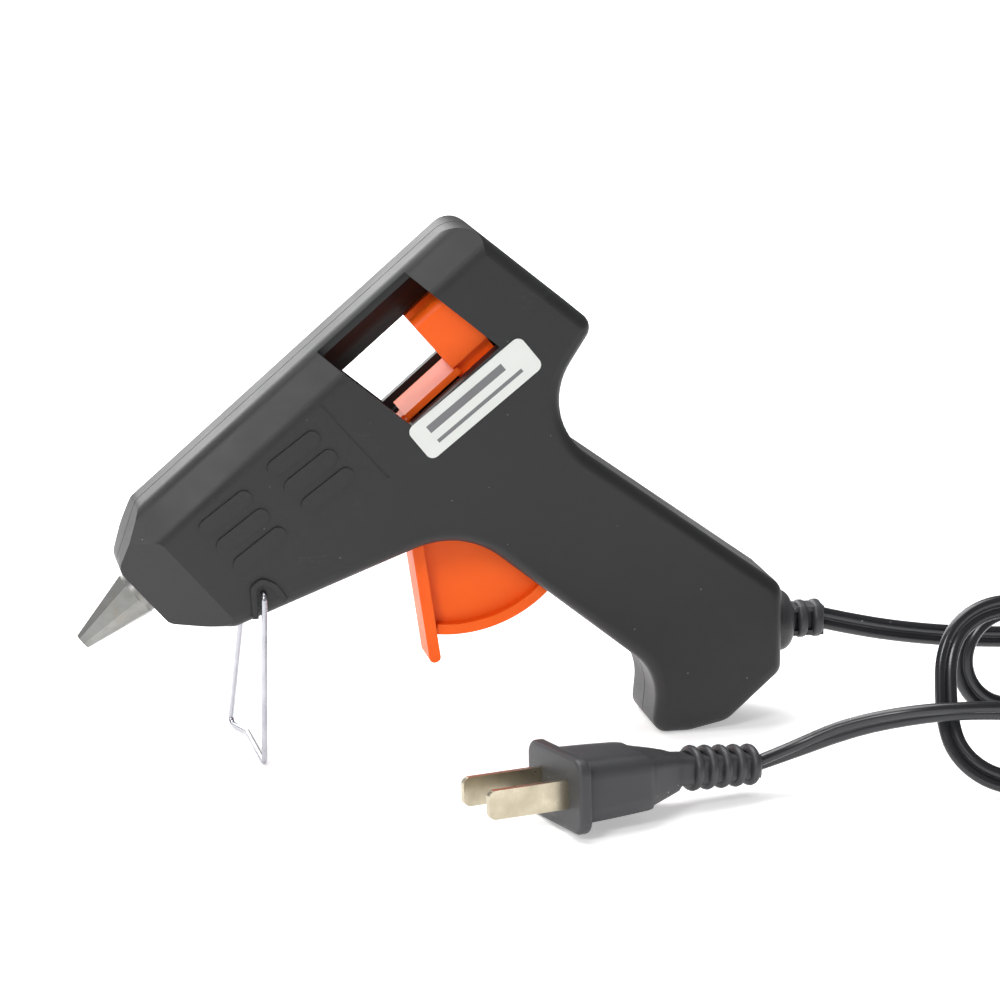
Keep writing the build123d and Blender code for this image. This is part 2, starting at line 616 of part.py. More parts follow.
def plug_face():
    """Flange with the rigid bridge that holds the blades."""
    face = Pos(FLANGE[0] / 2, 0, 0) * Box(*FLANGE)
    face = fillet(face.edges().filter_by(Axis.X), 3.0)
    face = fillet(face.faces().sort_by(Axis.X)[0].edges(), 0.8)
    for side in (-1, 1):
        face -= Pos(0, side * BLADE_GAP / 2, 0) * Box(12.0, BLADE_SIZE[0] + 0.04, BLADE_SIZE[1] + 0.04)
    return plug_place(face)


def plug_blades():
    """Two flat blades with rounded tips."""
    blades = []
    for side in (-1, 1):
        blade = Pos((FLANGE[0] - BLADE_LEN) / 2, 0, 0) * Box(BLADE_LEN + FLANGE[0], *BLADE_SIZE)
        blade = fillet(blade.faces().sort_by(Axis.X)[0].edges().filter_by(Axis.Y), 1.6)
        blades.append(plug_place(Pos(0, side * BLADE_GAP / 2, 0) * blade))
    return Compound(children=blades)


# ------------------------------------------------------------ wiring inside
def lead_wires():
    """Two insulated wires from the heater's tabs down the handle to the cord."""
    start_u, start_v = HEATER_MID + HEATER_LEN / 2 + 3.05, PAD_V - 1.9
    x_end, z_end = BUTT_X - 8.0, GLAND_Z
    wires = []
    for side in (-1, 1):
        a = to_stand(start_u, start_v)
        points = [(a[0], side * 3.0, a[1])]
        for u, v, yy in ((57.0, -12.2, side * 3.6), (62.0, -16.6, side * 6.0), (75.0, -18.4, side * 8.4),
                         (91.0, -22.0, side * 8.9), (98.0, -38.0, side * 8.9), (101.0, -58.0, side * 8.6),
                         (102.5, -74.0, side * 7.0)):
            x, z = to_stand(u, v)
            points.append((x, yy, z))
        points += [(x_end - 9.0, side * 3.4, z_end + 4.0), (x_end, side * 1.3, z_end)]
        wires.append(tube(points, 0.9))
    return Compound(children=wires)


# -------------------------------------------------------------------- build
def build():
    add("left_shell", shell(-1))
    add("right_shell", shell(1))
    add("housing_screws", housing_screws())
    add("rating_label", rating_label())
    add("nozzle", nozzle())
    add("check_ball", check_ball())
    add("ball_spring", ball_spring())
    add("melt_chamber", melt_chamber())
    heater_pack()
    add("inlet_sleeve", inlet_sleeve())
    add("sleeve_clip", sleeve_clip())
    add("trigger", trigger())
    add("trigger_pin", trigger_pin())
    add("return_spring", return_spring())
    add("feed_carriage", feed_carriage())
    add("grip_jaw", grip_jaw())
    add("jaw_pin", jaw_pin())
    add("wire_stand", wire_stand(), standing=True)
    add("strain_relief", gland(), standing=True)
    add("lead_wires", lead_wires(), standing=True)
    add("power_cord", tube(GUN_RUN, CORD_R), standing=True)
    add("plug_cord", tube([plug_exit()] + PLUG_RUN, CORD_R), standing=True)
    add("cord_hank", hank(), standing=True)
    add("cord_tie", cord_tie(), standing=True)
    add("plug_body", plug_body(), standing=True)
    add("plug_face", plug_face(), standing=True)
    add("plug_blades", plug_blades(), standing=True)


build()
os.makedirs("parts", exist_ok=True)
for name, shape in PARTS.items():
    export_step(shape, f"parts/{name}.step")
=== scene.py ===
"""Looks of a small hot-melt glue gun that stands on its wire stand and handle.

The frame gives every rigid piece its shape and place. This script dresses
those pieces, and makes the flat cord with its tied hank, the moulded plug,
the return spring and the twist tie, which the frame only stands in for.
All lengths are in metres, +Z up, the nozzle towards -X.
"""

from __future__ import annotations

import logging
import math
from dataclasses import dataclass, field
from enum import Enum

import bmesh
import bpy
from mathutils import Matrix, Vector

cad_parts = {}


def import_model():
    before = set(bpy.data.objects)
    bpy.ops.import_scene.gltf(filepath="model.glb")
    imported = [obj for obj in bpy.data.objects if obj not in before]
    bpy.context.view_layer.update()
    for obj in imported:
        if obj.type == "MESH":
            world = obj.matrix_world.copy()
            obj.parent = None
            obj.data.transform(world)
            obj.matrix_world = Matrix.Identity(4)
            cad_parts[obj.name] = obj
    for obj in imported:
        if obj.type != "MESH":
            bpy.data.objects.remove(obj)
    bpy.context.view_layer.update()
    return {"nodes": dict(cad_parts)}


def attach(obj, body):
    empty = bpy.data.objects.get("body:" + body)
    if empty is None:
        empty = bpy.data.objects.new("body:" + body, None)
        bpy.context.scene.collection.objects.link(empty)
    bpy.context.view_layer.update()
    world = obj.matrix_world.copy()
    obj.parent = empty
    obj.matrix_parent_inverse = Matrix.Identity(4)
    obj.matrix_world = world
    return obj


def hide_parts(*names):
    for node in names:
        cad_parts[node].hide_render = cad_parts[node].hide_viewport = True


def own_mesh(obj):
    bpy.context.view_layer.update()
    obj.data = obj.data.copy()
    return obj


LOG = logging.getLogger("glue_gun")
Colour = tuple[float, float, float]
Place = tuple[float, float, float]
Socket = bpy.types.NodeSocket
MM = 0.001
PITCH = math.radians(40.8)
TIP = Vector((-0.0872, 0.0, 0.0271))
WHITE: Colour = (1.0, 1.0, 1.0)


def barrel_point(u: float, y: float, v: float) -> Vector:
    """Place a point given along, across and above the barrel's axis.

    Args:
        u: Distance back from the nozzle's tip.
        y: Distance across, away from the gun's left side.
        v: Height above the barrel's axis.

    Returns:
        The point in the standing gun's frame.
    """
    ahead, above = math.cos(PITCH), math.sin(PITCH)
    return TIP + Vector((u * ahead - v * above, y, u * above + v * ahead))


def barrel_matrix(u: float, y: float, v: float) -> Matrix:
    """Return the matrix of a frame at a barrel point, its X back along the barrel."""
    return Matrix.Translation(barrel_point(u, y, v)) @ Matrix.Rotation(-PITCH, 4, "Y")


# --------------------------------------------------------------------- shading
class Tree:
    """Short-hand for placing and joining shader nodes in one tree."""

    def __init__(self, tree: bpy.types.NodeTree) -> None:
        """Keep the tree that nodes go into."""
        self.tree = tree

    def put(self, kind: str, settings: dict | None = None, **inputs: object) -> bpy.types.Node:
        """Add one node.

        Args:
            kind: The node's type name, without its ShaderNode prefix.
            settings: Properties to set on the node.
            **inputs: Socket values or output sockets, by socket name, with
                underscores for spaces and a number for an unnamed socket.

        Returns:
            The new node.
        """
        node = self.tree.nodes.new("ShaderNode" + kind)
        for key, value in (settings or {}).items():
            setattr(node, key, value)
        for key, value in inputs.items():
            place = int(key[1:]) if key[1:].isdigit() and key[0] == "n" else key.replace("_", " ")
            if isinstance(value, bpy.types.NodeSocket):
                self.tree.links.new(value, node.inputs[place])
            else:
                node.inputs[place].default_value = value
        return node

    def math(self, operation: str, first: object, second: object = 0.0) -> Socket:
        """Return the output of a Math node on two values."""
        return self.put("Math", {"operation": operation}, n0=first, n1=second).outputs[0]

    def noise(self, spot: Socket, scale: object, **inputs: float) -> Socket:
        """Return the value of a noise texture of the given scale."""
        return self.put("TexNoise", Vector=spot, Scale=scale, **inputs).outputs[0]

    def blend(self, share: object, low: object, high: object) -> Socket:
        """Mix two colours.

        Args:
            share: How much of the second colour there is, from 0 to 1.
            low: The first colour, a socket or four numbers.
            high: The second colour.

        Returns:
            The mixed colour.
        """
        node = self.put("Mix", {"data_type": "RGBA"})
        for place, value in ((0, share), (6, low), (7, high)):
            if isinstance(value, bpy.types.NodeSocket):
                self.tree.links.new(value, node.inputs[place])
            else:
                node.inputs[place].default_value = value
        return node.outputs[2]

    def ramp(self, value: object, start: float, end: float) -> Socket:
        """Return a value stretched so that start becomes 0 and end becomes 1."""
        return self.put("MapRange", Value=value, From_Min=start, From_Max=end).outputs[0]


class EffectTree(Tree):
    """A shader node group with a Vector input, float inputs and one output."""

    def __init__(self, name: str, output: str, **inputs: float) -> None:
        """Start the group.

        Args:
            name: Name of the group.
            output: Name of its float output.
            **inputs: Default value of each float input, by name.
        """
        super().__init__(bpy.data.node_groups.new(name, "ShaderNodeTree"))
        sockets = self.tree.interface
        sockets.new_socket(name="Vector", in_out="INPUT", socket_type="NodeSocketVector")
        for label, value in inputs.items():
            socket = sockets.new_socket(name=label, in_out="INPUT", socket_type="NodeSocketFloat")
            socket.default_value = value
        sockets.new_socket(name=output, in_out="OUTPUT", socket_type="NodeSocketFloat")
        self.inputs = self.tree.nodes.new("NodeGroupInput").outputs
        self.end = self.tree.nodes.new("NodeGroupOutput")
        self.spot = self.inputs["Vector"]

    def finished(self, value: Socket) -> bpy.types.NodeTree:
        """Put a value out and return the finished group."""
        self.tree.links.new(value, self.end.inputs[0])
        return self.tree


class Effects:
    """The surface effects that several finishes share, each built once."""

    def __init__(self) -> None:
        """Build every group."""
        self.grain = self._grain()
        self.specks = self._specks()
        self.scratches = self._scratches()
        self.drift = self._drift()

    @staticmethod
    def _grain() -> bpy.types.NodeTree:
        """Build the fine moulded or cast texture.

        Returns:
            A group that puts out a height.
        """
        tree = EffectTree("Fine Grain", "Height", Scale=2500.0, Pitting=0.3)
        fine = tree.noise(tree.spot, tree.inputs["Scale"], Detail=3.0, Roughness=0.6)
        coarse_scale = tree.math("MULTIPLY", tree.inputs["Scale"], 0.28)
        pits = tree.put("TexVoronoi", Vector=tree.spot, Scale=coarse_scale).outputs["Distance"]
        depth = tree.math("MULTIPLY", tree.ramp(pits, 0.0, 0.45), tree.inputs["Pitting"])
        return tree.finished(tree.math("ADD", fine, depth))

    @staticmethod
    def _specks() -> bpy.types.NodeTree:
        """Build sparse dust specks, gathered in patches.

        Returns:
            A group that puts out a mask.
        """
        tree = EffectTree("Dust Specks", "Mask", Scale=700.0, Size=0.12, Share=0.4)
        cells = tree.put("TexVoronoi", Vector=tree.spot, Scale=tree.inputs["Scale"]).outputs
        small = tree.math("LESS_THAN", cells["Distance"], tree.inputs["Size"])
        chance = tree.put("SeparateColor", Color=cells["Color"]).outputs[0]
        some = tree.math("LESS_THAN", chance, tree.inputs["Share"])
        patch = tree.ramp(tree.noise(tree.spot, 90.0, Detail=2.0), 0.42, 0.62)
        return tree.finished(tree.math("MULTIPLY", tree.math("MULTIPLY", small, some), patch))

    @staticmethod
    def _scratches() -> bpy.types.NodeTree:
        """Build short fine scratches along two directions.

        Returns:
            A group that puts out a mask.
        """
        tree = EffectTree("Scratches", "Mask", Scale=60.0, Share=0.5)
        lines = []
        for turn in (0.5, 2.1):
            turned = tree.put("Mapping", Vector=tree.spot, Rotation=(0.3, turn, 0.2),
                              Scale=(1.0, 1.0, 26.0)).outputs[0]
            wavy = tree.noise(turned, tree.inputs["Scale"], Detail=2.0)
            ridge = tree.math("ABSOLUTE", tree.math("SUBTRACT", wavy, 0.5))
            lines.append(tree.ramp(ridge, 0.006, 0.0))
        patch = tree.noise(tree.spot, 55.0, Detail=3.0)
        limit = tree.math("SUBTRACT", 0.72, tree.math("MULTIPLY", tree.inputs["Share"], 0.3))
        cover = tree.math("MULTIPLY", tree.math("SUBTRACT", patch, limit), 8.0)
        cover = tree.put("Clamp", Value=cover).outputs[0]
        return tree.finished(tree.math("MULTIPLY", tree.math("MAXIMUM", *lines), cover))

    @staticmethod
    def _drift() -> bpy.types.NodeTree:
        """Build the slow drift of tone over a surface.

        Returns:
            A group that puts out a value from 0 to 1.
        """
        tree = EffectTree("Tone Drift", "Value", Scale=45.0)
        slow = tree.noise(tree.spot, tree.inputs["Scale"], Detail=4.0, Roughness=0.55)
        return tree.finished(tree.ramp(slow, 0.3, 0.7))


def rgba(colour: Colour) -> tuple[float, float, float, float]:
    """Return a colour with full alpha."""
    return (*colour, 1.0)


@dataclass(frozen=True)
class Finish:
    """A surface finish, worked out from a few values."""

    name: str
    colour: Colour
    shade: Colour
    roughness: float
    metallic: float = 0.0
    drift_scale: float = 45.0
    rough_spread: float = 0.08
    grain_scale: float = 2500.0
    grain_depth: float = 0.00002
    pitting: float = 0.3
    dust: float = 0.0
    dust_colour: Colour = (0.45, 0.44, 0.42)
    scratch: float = 0.0
    coat: float = 0.0
    specular: float = 0.5
    glow: float = 0.0

    def tint(self, tree: Tree, spot: Socket, drift: Socket) -> Socket:
        """Return the base colour before dust, from the drift of tone.

        Args:
            tree: The material's tree.
            spot: Object coordinates, for finishes that print or stain.
            drift: The slow drift of tone, from 0 to 1.

        Returns:
            A colour.
        """
        return tree.blend(drift, rgba(self.colour), rgba(self.shade))

    def height(self, tree: Tree, spot: Socket, grain: Socket) -> Socket:
        """Return the height that the bump follows, the plain grain by default.

        Args:
            tree: The material's tree.
            spot: Object coordinates, for finishes that add to the grain.
            grain: The grain's height.

        Returns:
            A height.
        """
        return grain

    def build(self, effects: Effects) -> bpy.types.Material:
        """Build the material.

        Args:
            effects: The shared node groups.

        Returns:
            The finished material.
        """
        material = bpy.data.materials.new(self.name)
        material.use_nodes = True
        material.node_tree.nodes.clear()
        tree = Tree(material.node_tree)
        spot = tree.put("TexCoord").outputs["Object"]
        grain = self._effect(tree, effects.grain, spot, Scale=self.grain_scale, Pitting=self.pitting)
        drift = self._effect(tree, effects.drift, spot, Scale=self.drift_scale)
        colour = self.tint(tree, spot, drift)
        rough = tree.math("ADD", tree.math("MULTIPLY", drift, self.rough_spread), self.roughness)
        if self.dust:
            mask = self._effect(tree, effects.specks, spot, Share=self.dust)
            colour = tree.blend(mask, colour, rgba(self.dust_colour))
            rough = tree.math("ADD", rough, tree.math("MULTIPLY", mask, 0.3))
        if self.scratch:
            mask = self._effect(tree, effects.scratches, spot, Share=self.scratch)
            colour = tree.blend(tree.math("MULTIPLY", mask, 0.35), colour, rgba(self.dust_colour))
        depth = {"Subsurface_Weight": self.glow, "Subsurface_Radius": (1.0, 0.35, 0.12),
                 "Subsurface_Scale": 1.5 * MM} if self.glow else {}
        bump = tree.put("Bump", Strength=1.0, Distance=self.grain_depth,
                        Height=self.height(tree, spot, grain))
        shader = tree.put("BsdfPrincipled", Base_Color=colour, Roughness=rough, Metallic=self.metallic,
                          Coat_Weight=self.coat, Coat_Roughness=0.12,
                          Specular_IOR_Level=self.specular, Normal=bump.outputs[0], **depth)
        tree.put("OutputMaterial", Surface=shader.outputs[0])
        return material

    @staticmethod
    def _effect(tree: Tree, group: bpy.types.NodeTree, spot: Socket, **inputs: float) -> Socket:
        """Place a shared group with its own values and return its output."""
        return tree.put("Group", {"node_tree": group}, Vector=spot, **inputs).outputs[0]


@dataclass(frozen=True)
class LabelFinish(Finish):
    """Silvery label film with two plain printed bars."""

    ink: Colour = (0.16, 0.16, 0.17)
    middle: tuple[float, float] = (102.9 * MM, -16.0 * MM)
    lean: float = math.radians(2.0)
    bars: tuple[tuple[float, float, float, float], ...] = (
        (-1.6 * MM, 11.0 * MM, 1.45 * MM, 0.95 * MM), (-0.2 * MM, 12.4 * MM, -2.0 * MM, 0.45 * MM))

    def bar(self, tree: Tree, along: Socket, up: Socket, size: tuple) -> Socket:
        """Return the mask of one printed bar.

        Args:
            tree: The material's tree.
            along: Distance along the label from its middle.
            up: Distance up the label from its middle.
            size: The bar's middle and half size along, then up.

        Returns:
            A mask, 1 inside the bar.
        """
        mid_x, half_x, mid_z, half_z = size
        inside = [tree.math("LESS_THAN", tree.math("ABSOLUTE", tree.math("SUBTRACT", way, mid)), half)
                  for way, mid, half in ((along, mid_x, half_x), (up, mid_z, half_z))]
        return tree.math("MULTIPLY", *inside)

    def tint(self, tree: Tree, spot: Socket, drift: Socket) -> Socket:
        """Return the film's colour with its printed bars.

        Args:
            tree: The material's tree.
            spot: Object coordinates.
            drift: The slow drift of tone.

        Returns:
            A colour.
        """
        base = super().tint(tree, spot, drift)
        centre = barrel_point(self.middle[0], 0.0, self.middle[1])
        moved = tree.put("VectorMath", {"operation": "SUBTRACT"}, n0=spot, n1=tuple(centre)).outputs[0]
        turned = tree.put("VectorRotate", {"rotation_type": "Y_AXIS"}, Vector=moved,
                          Angle=PITCH - self.lean).outputs[0]
        axes = tree.put("SeparateXYZ", Vector=turned).outputs
        marks = [self.bar(tree, axes[0], axes[2], size) for size in self.bars]
        return tree.blend(tree.math("MAXIMUM", *marks), base, rgba(self.ink))


@dataclass(frozen=True)
class CastFinish(Finish):
    """Rough cast metal with file marks along it and heat staining."""

    stain: Colour = (0.30, 0.27, 0.22)

    def tint(self, tree: Tree, spot: Socket, drift: Socket) -> Socket:
        """Return the metal's colour with stained patches.

        Args:
            tree: The material's tree.
            spot: Object coordinates.
            drift: The slow drift of tone.

        Returns:
            A colour.
        """
        base = super().tint(tree, spot, drift)
        patch = tree.noise(spot, 210.0, Detail=5.0, Roughness=0.7)
        return tree.blend(tree.ramp(patch, 0.55, 0.8), base, rgba(self.stain))

    def height(self, tree: Tree, spot: Socket, grain: Socket) -> Socket:
        """Return the grain with cast lumps and lengthwise marks.

        Args:
            tree: The material's tree.
            spot: Object coordinates.
            grain: The grain's height.

        Returns:
            A height.
        """
        lumps = tree.noise(spot, 650.0, Detail=4.0, Roughness=0.65)
        turned = tree.put("VectorRotate", {"rotation_type": "Y_AXIS"}, Vector=spot, Angle=PITCH).outputs[0]
        marks = tree.put("Mapping", Vector=turned, Scale=(90.0, 2400.0, 2400.0)).outputs[0]
        lines = tree.noise(marks, 1.0, Detail=2.0)
        return tree.math("ADD", tree.math("ADD", grain, tree.math("MULTIPLY", lumps, 2.5)), lines)


@dataclass(frozen=True)
class BrushedFinish(Finish):
    """Drawn wire or ground steel with fine drawn-out marks."""

    def height(self, tree: Tree, spot: Socket, grain: Socket) -> Socket:
        """Return the grain drawn out into fine lines.

        Args:
            tree: The material's tree.
            spot: Object coordinates.
            grain: The grain's height.

        Returns:
            A height.
        """
        drawn = tree.put("Mapping", Vector=spot, Scale=(1.0, 1.0, 0.06)).outputs[0]
        lines = tree.noise(drawn, 6000.0, Detail=2.0)
        return tree.math("ADD", tree.math("MULTIPLY", grain, 0.4), lines)


@dataclass(frozen=True)
class SleevingFinish(Finish):
    """Braided glass sleeving on the wires inside."""

    def height(self, tree: Tree, spot: Socket, grain: Socket) -> Socket:
        """Return a crossed braid in place of the grain.

        Args:
            tree: The material's tree.
            spot: Object coordinates.
            grain: The grain's height, covered by the braid.

        Returns:
            A height.
        """
        turned = tree.put("Mapping", Vector=spot, Rotation=(0.0, math.pi / 2, 0.0)).outputs[0]
        threads = [tree.put("TexWave", Vector=way, Scale=900.0, Distortion=1.0).outputs[1]
                   for way in (spot, turned)]
        return tree.math("MAXIMUM", *threads)


class Look(Enum):
    """Every finish on the gun, each value being the finish itself."""

    SHELL = Finish("shell_black", (0.0125, 0.0125, 0.0140), (0.0170, 0.0168, 0.0182), 0.40, rough_spread=0.12,
                   grain_scale=3200.0, grain_depth=0.000022, dust=0.035, scratch=0.2, specular=0.45,
                   dust_colour=(0.16, 0.16, 0.155))
    SCREW = BrushedFinish("screw_steel", (0.52, 0.52, 0.54), (0.40, 0.40, 0.42), 0.34, metallic=1.0)
    LABEL = LabelFinish("label_grey", (0.74, 0.76, 0.73), (0.68, 0.70, 0.67), 0.40, grain_depth=0.000004,
                        rough_spread=0.05, coat=0.15)
    NOZZLE = CastFinish("nozzle_cast", (0.34, 0.34, 0.33), (0.22, 0.22, 0.21), 0.36, metallic=1.0,
                        drift_scale=120.0, grain_depth=0.00003, rough_spread=0.2)
    BALL = Finish("ball_steel", (0.75, 0.75, 0.76), (0.70, 0.70, 0.71), 0.12, metallic=1.0,
                  grain_depth=0.000002)
    SPRING = BrushedFinish("spring_steel", (0.62, 0.62, 0.63), (0.50, 0.50, 0.51), 0.28, metallic=1.0,
                           grain_depth=0.000006)
    CHAMBER = CastFinish("chamber_cast", (0.58, 0.58, 0.57), (0.45, 0.45, 0.43), 0.45, metallic=1.0,
                         grain_depth=0.00003)
    PILL = Finish("pill_ceramic", (0.22, 0.21, 0.20), (0.28, 0.27, 0.26), 0.75, pitting=0.8)
    ELECTRODE = BrushedFinish("electrode_brass", (0.72, 0.56, 0.28), (0.60, 0.45, 0.22), 0.32, metallic=1.0)
    FILM = Finish("film_amber", (0.58, 0.28, 0.05), (0.48, 0.22, 0.04), 0.25, coat=0.4, grain_depth=0.000004)
    CLIP = BrushedFinish("clip_steel", (0.56, 0.56, 0.55), (0.44, 0.43, 0.42), 0.35, metallic=1.0)
    SLEEVE = Finish("sleeve_silicone", (0.74, 0.71, 0.66), (0.66, 0.62, 0.56), 0.5, glow=0.3)
    ORANGE = Finish("trigger_orange", (1.0, 0.135, 0.006), (0.93, 0.110, 0.005), 0.40, rough_spread=0.1,
                    grain_scale=1800.0, grain_depth=0.000012, glow=0.12, scratch=0.2, specular=0.3,
                    dust_colour=(1.0, 0.36, 0.14))
    PIN = BrushedFinish("pin_steel", (0.60, 0.60, 0.61), (0.52, 0.52, 0.53), 0.25, metallic=1.0)
    WIRE = BrushedFinish("stand_wire", (0.50, 0.50, 0.54), (0.38, 0.38, 0.42), 0.22, metallic=1.0,
                         grain_depth=0.000005, drift_scale=160.0)
    CORD = Finish("cord_black", (0.009, 0.009, 0.012), (0.015, 0.015, 0.018), 0.24, rough_spread=0.1,
                  grain_depth=0.000006, coat=0.15, dust=0.04)
    PLUG = Finish("plug_black", (0.034, 0.034, 0.037), (0.044, 0.044, 0.048), 0.40, grain_scale=2600.0,
                  grain_depth=0.00002, dust=0.10, scratch=0.25)
    BLADE = BrushedFinish("blade_nickel", (0.56, 0.50, 0.38), (0.42, 0.37, 0.27), 0.26, metallic=1.0,
                          drift_scale=200.0, grain_depth=0.000006)
    TIE = Finish("tie_black", (0.020, 0.020, 0.020), (0.030, 0.030, 0.030), 0.35, grain_depth=0.00001)
    LEADS = SleevingFinish("lead_white", (0.74, 0.72, 0.67), (0.66, 0.63, 0.58), 0.8, grain_depth=0.0001)


NODE_LOOKS: dict[str, Look] = {
    "left_shell": Look.SHELL, "right_shell": Look.SHELL, "housing_screws": Look.SCREW,
    "rating_label": Look.LABEL, "nozzle": Look.NOZZLE, "check_ball": Look.BALL,
    "ball_spring": Look.SPRING, "melt_chamber": Look.CHAMBER, "heater_pill": Look.PILL,
    "heater_electrodes": Look.ELECTRODE, "heater_film": Look.FILM, "heater_clip": Look.CLIP,
    "inlet_sleeve": Look.SLEEVE, "sleeve_clip": Look.CLIP, "trigger": Look.ORANGE,
    "trigger_pin": Look.PIN, "feed_carriage": Look.ORANGE, "grip_jaw": Look.PIN, "jaw_pin": Look.PIN,
    "wire_stand": Look.WIRE, "strain_relief": Look.PLUG, "lead_wires": Look.LEADS,
    "plug_blades": Look.BLADE,
}


# ----------------------------------------------------------------------- pieces
@dataclass
class Maker:
    """What every sub-assembly shares: its finishes and its way to add a piece."""

    materials: dict[Look, bpy.types.Material]

    def piece(self, name: str, mesh: bpy.types.Mesh, look: Look, body: str) -> bpy.types.Object:
        """Make an object of a mesh, dress it and let it ride on a body.

        Args:
            name: The piece's name.
            mesh: Its mesh, in the standing gun's frame.
            look: Its finish.
            body: The body that carries it.

        Returns:
            The new object.
        """
        shape = bpy.data.objects.new(name, mesh)
        bpy.context.scene.collection.objects.link(shape)
        mesh.materials.clear()
        mesh.materials.append(self.materials[look])
        mesh.shade_smooth()
        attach(shape, body)
        LOG.info("%s: %d faces on %s", name, len(mesh.polygons), body)
        return shape


def smooth_line(points: list[Vector], resolution: int = 12) -> bpy.types.Object:
    """Make a curve object of one NURBS spline with the given control points.

    Args:
        points: The route's control points.
        resolution: Samples to each stretch of the spline.

    Returns:
        The curve object, not yet in the scene.
    """
    curve = bpy.data.curves.new("route", "CURVE")
    curve.dimensions = "3D"
    curve.twist_mode = "MINIMUM"
    spline = curve.splines.new("NURBS")
    spline.points.add(len(points) - 1)
    for i, point in enumerate(points):
        spline.points[i].co = (*point, 1.0)
    spline.order_u = 3
    spline.use_endpoint_u = True
    spline.resolution_u = resolution
    return bpy.data.objects.new("route", curve)


def line_points(route: bpy.types.Object) -> list[Vector]:
    """Read the points of a curve object's own line.

    Args:
        route: The curve object.

    Returns:
        The sampled points, in order.
    """
    mesh = bpy.data.meshes.new_from_object(route)
    points = [vertex.co.copy() for vertex in mesh.vertices]
    bpy.data.meshes.remove(mesh)
    return points


def line_length(line: list[Vector]) -> float:
    """Return the length of a line of points."""
    return sum((b - a).length for a, b in zip(line, line[1:]))


def round_profile(radius: float, sides: int) -> bpy.types.Object:
    """Make a closed flat curve, a round wire's outline.

    Args:
        radius: The wire's radius.
        sides: Number of points round it.

    Returns:
        The curve object, not yet in the scene.
    """
    curve = bpy.data.curves.new("wire_outline", "CURVE")
    curve.dimensions = "2D"
    outline = curve.splines.new("POLY")
    outline.points.add(sides - 1)
    for i, point in enumerate(outline.points):
        angle = 2 * math.pi * i / sides
        point.co = (radius * math.cos(angle), radius * math.sin(angle), 0.0, 1.0)
    outline.use_cyclic_u = True
    return bpy.data.objects.new("wire_outline", curve)


def swept_mesh(route: bpy.types.Object, profile: bpy.types.Object) -> bpy.types.Mesh:
    """Sweep a profile along a route and cap its ends.

    Args:
        route: The curve to follow.
        profile: A closed flat curve to carry along it.

    Returns:
        The swept mesh, its normals pointing out.
    """
    for thing in (route, profile):
        bpy.context.scene.collection.objects.link(thing)
    route.data.bevel_mode = "OBJECT"
    route.data.bevel_object = profile
    route.data.use_fill_caps = True
    bpy.context.view_layer.update()
    depsgraph = bpy.context.evaluated_depsgraph_get()
    mesh = bpy.data.meshes.new_from_object(route.evaluated_get(depsgraph))
    for thing in (route, profile):
        bpy.data.objects.remove(thing)
    work = bmesh.new()
    work.from_mesh(mesh)
    bmesh.ops.remove_doubles(work, verts=work.verts, dist=0.01 * MM)
    bmesh.ops.recalc_face_normals(work, faces=work.faces)
    work.to_mesh(mesh)
    work.free()
    return mesh


def finished(name: str, work: bmesh.types.BMesh) -> bpy.types.Mesh:
    """Turn a closed bmesh into a mesh, its normals pointing out, and free it.

    Args:
        name: Name of the mesh.
        work: The bmesh.

    Returns:
        The new mesh.
    """
    bmesh.ops.recalc_face_normals(work, faces=work.faces)
    mesh = bpy.data.meshes.new(name)
    work.to_mesh(mesh)
    work.free()
    return mesh


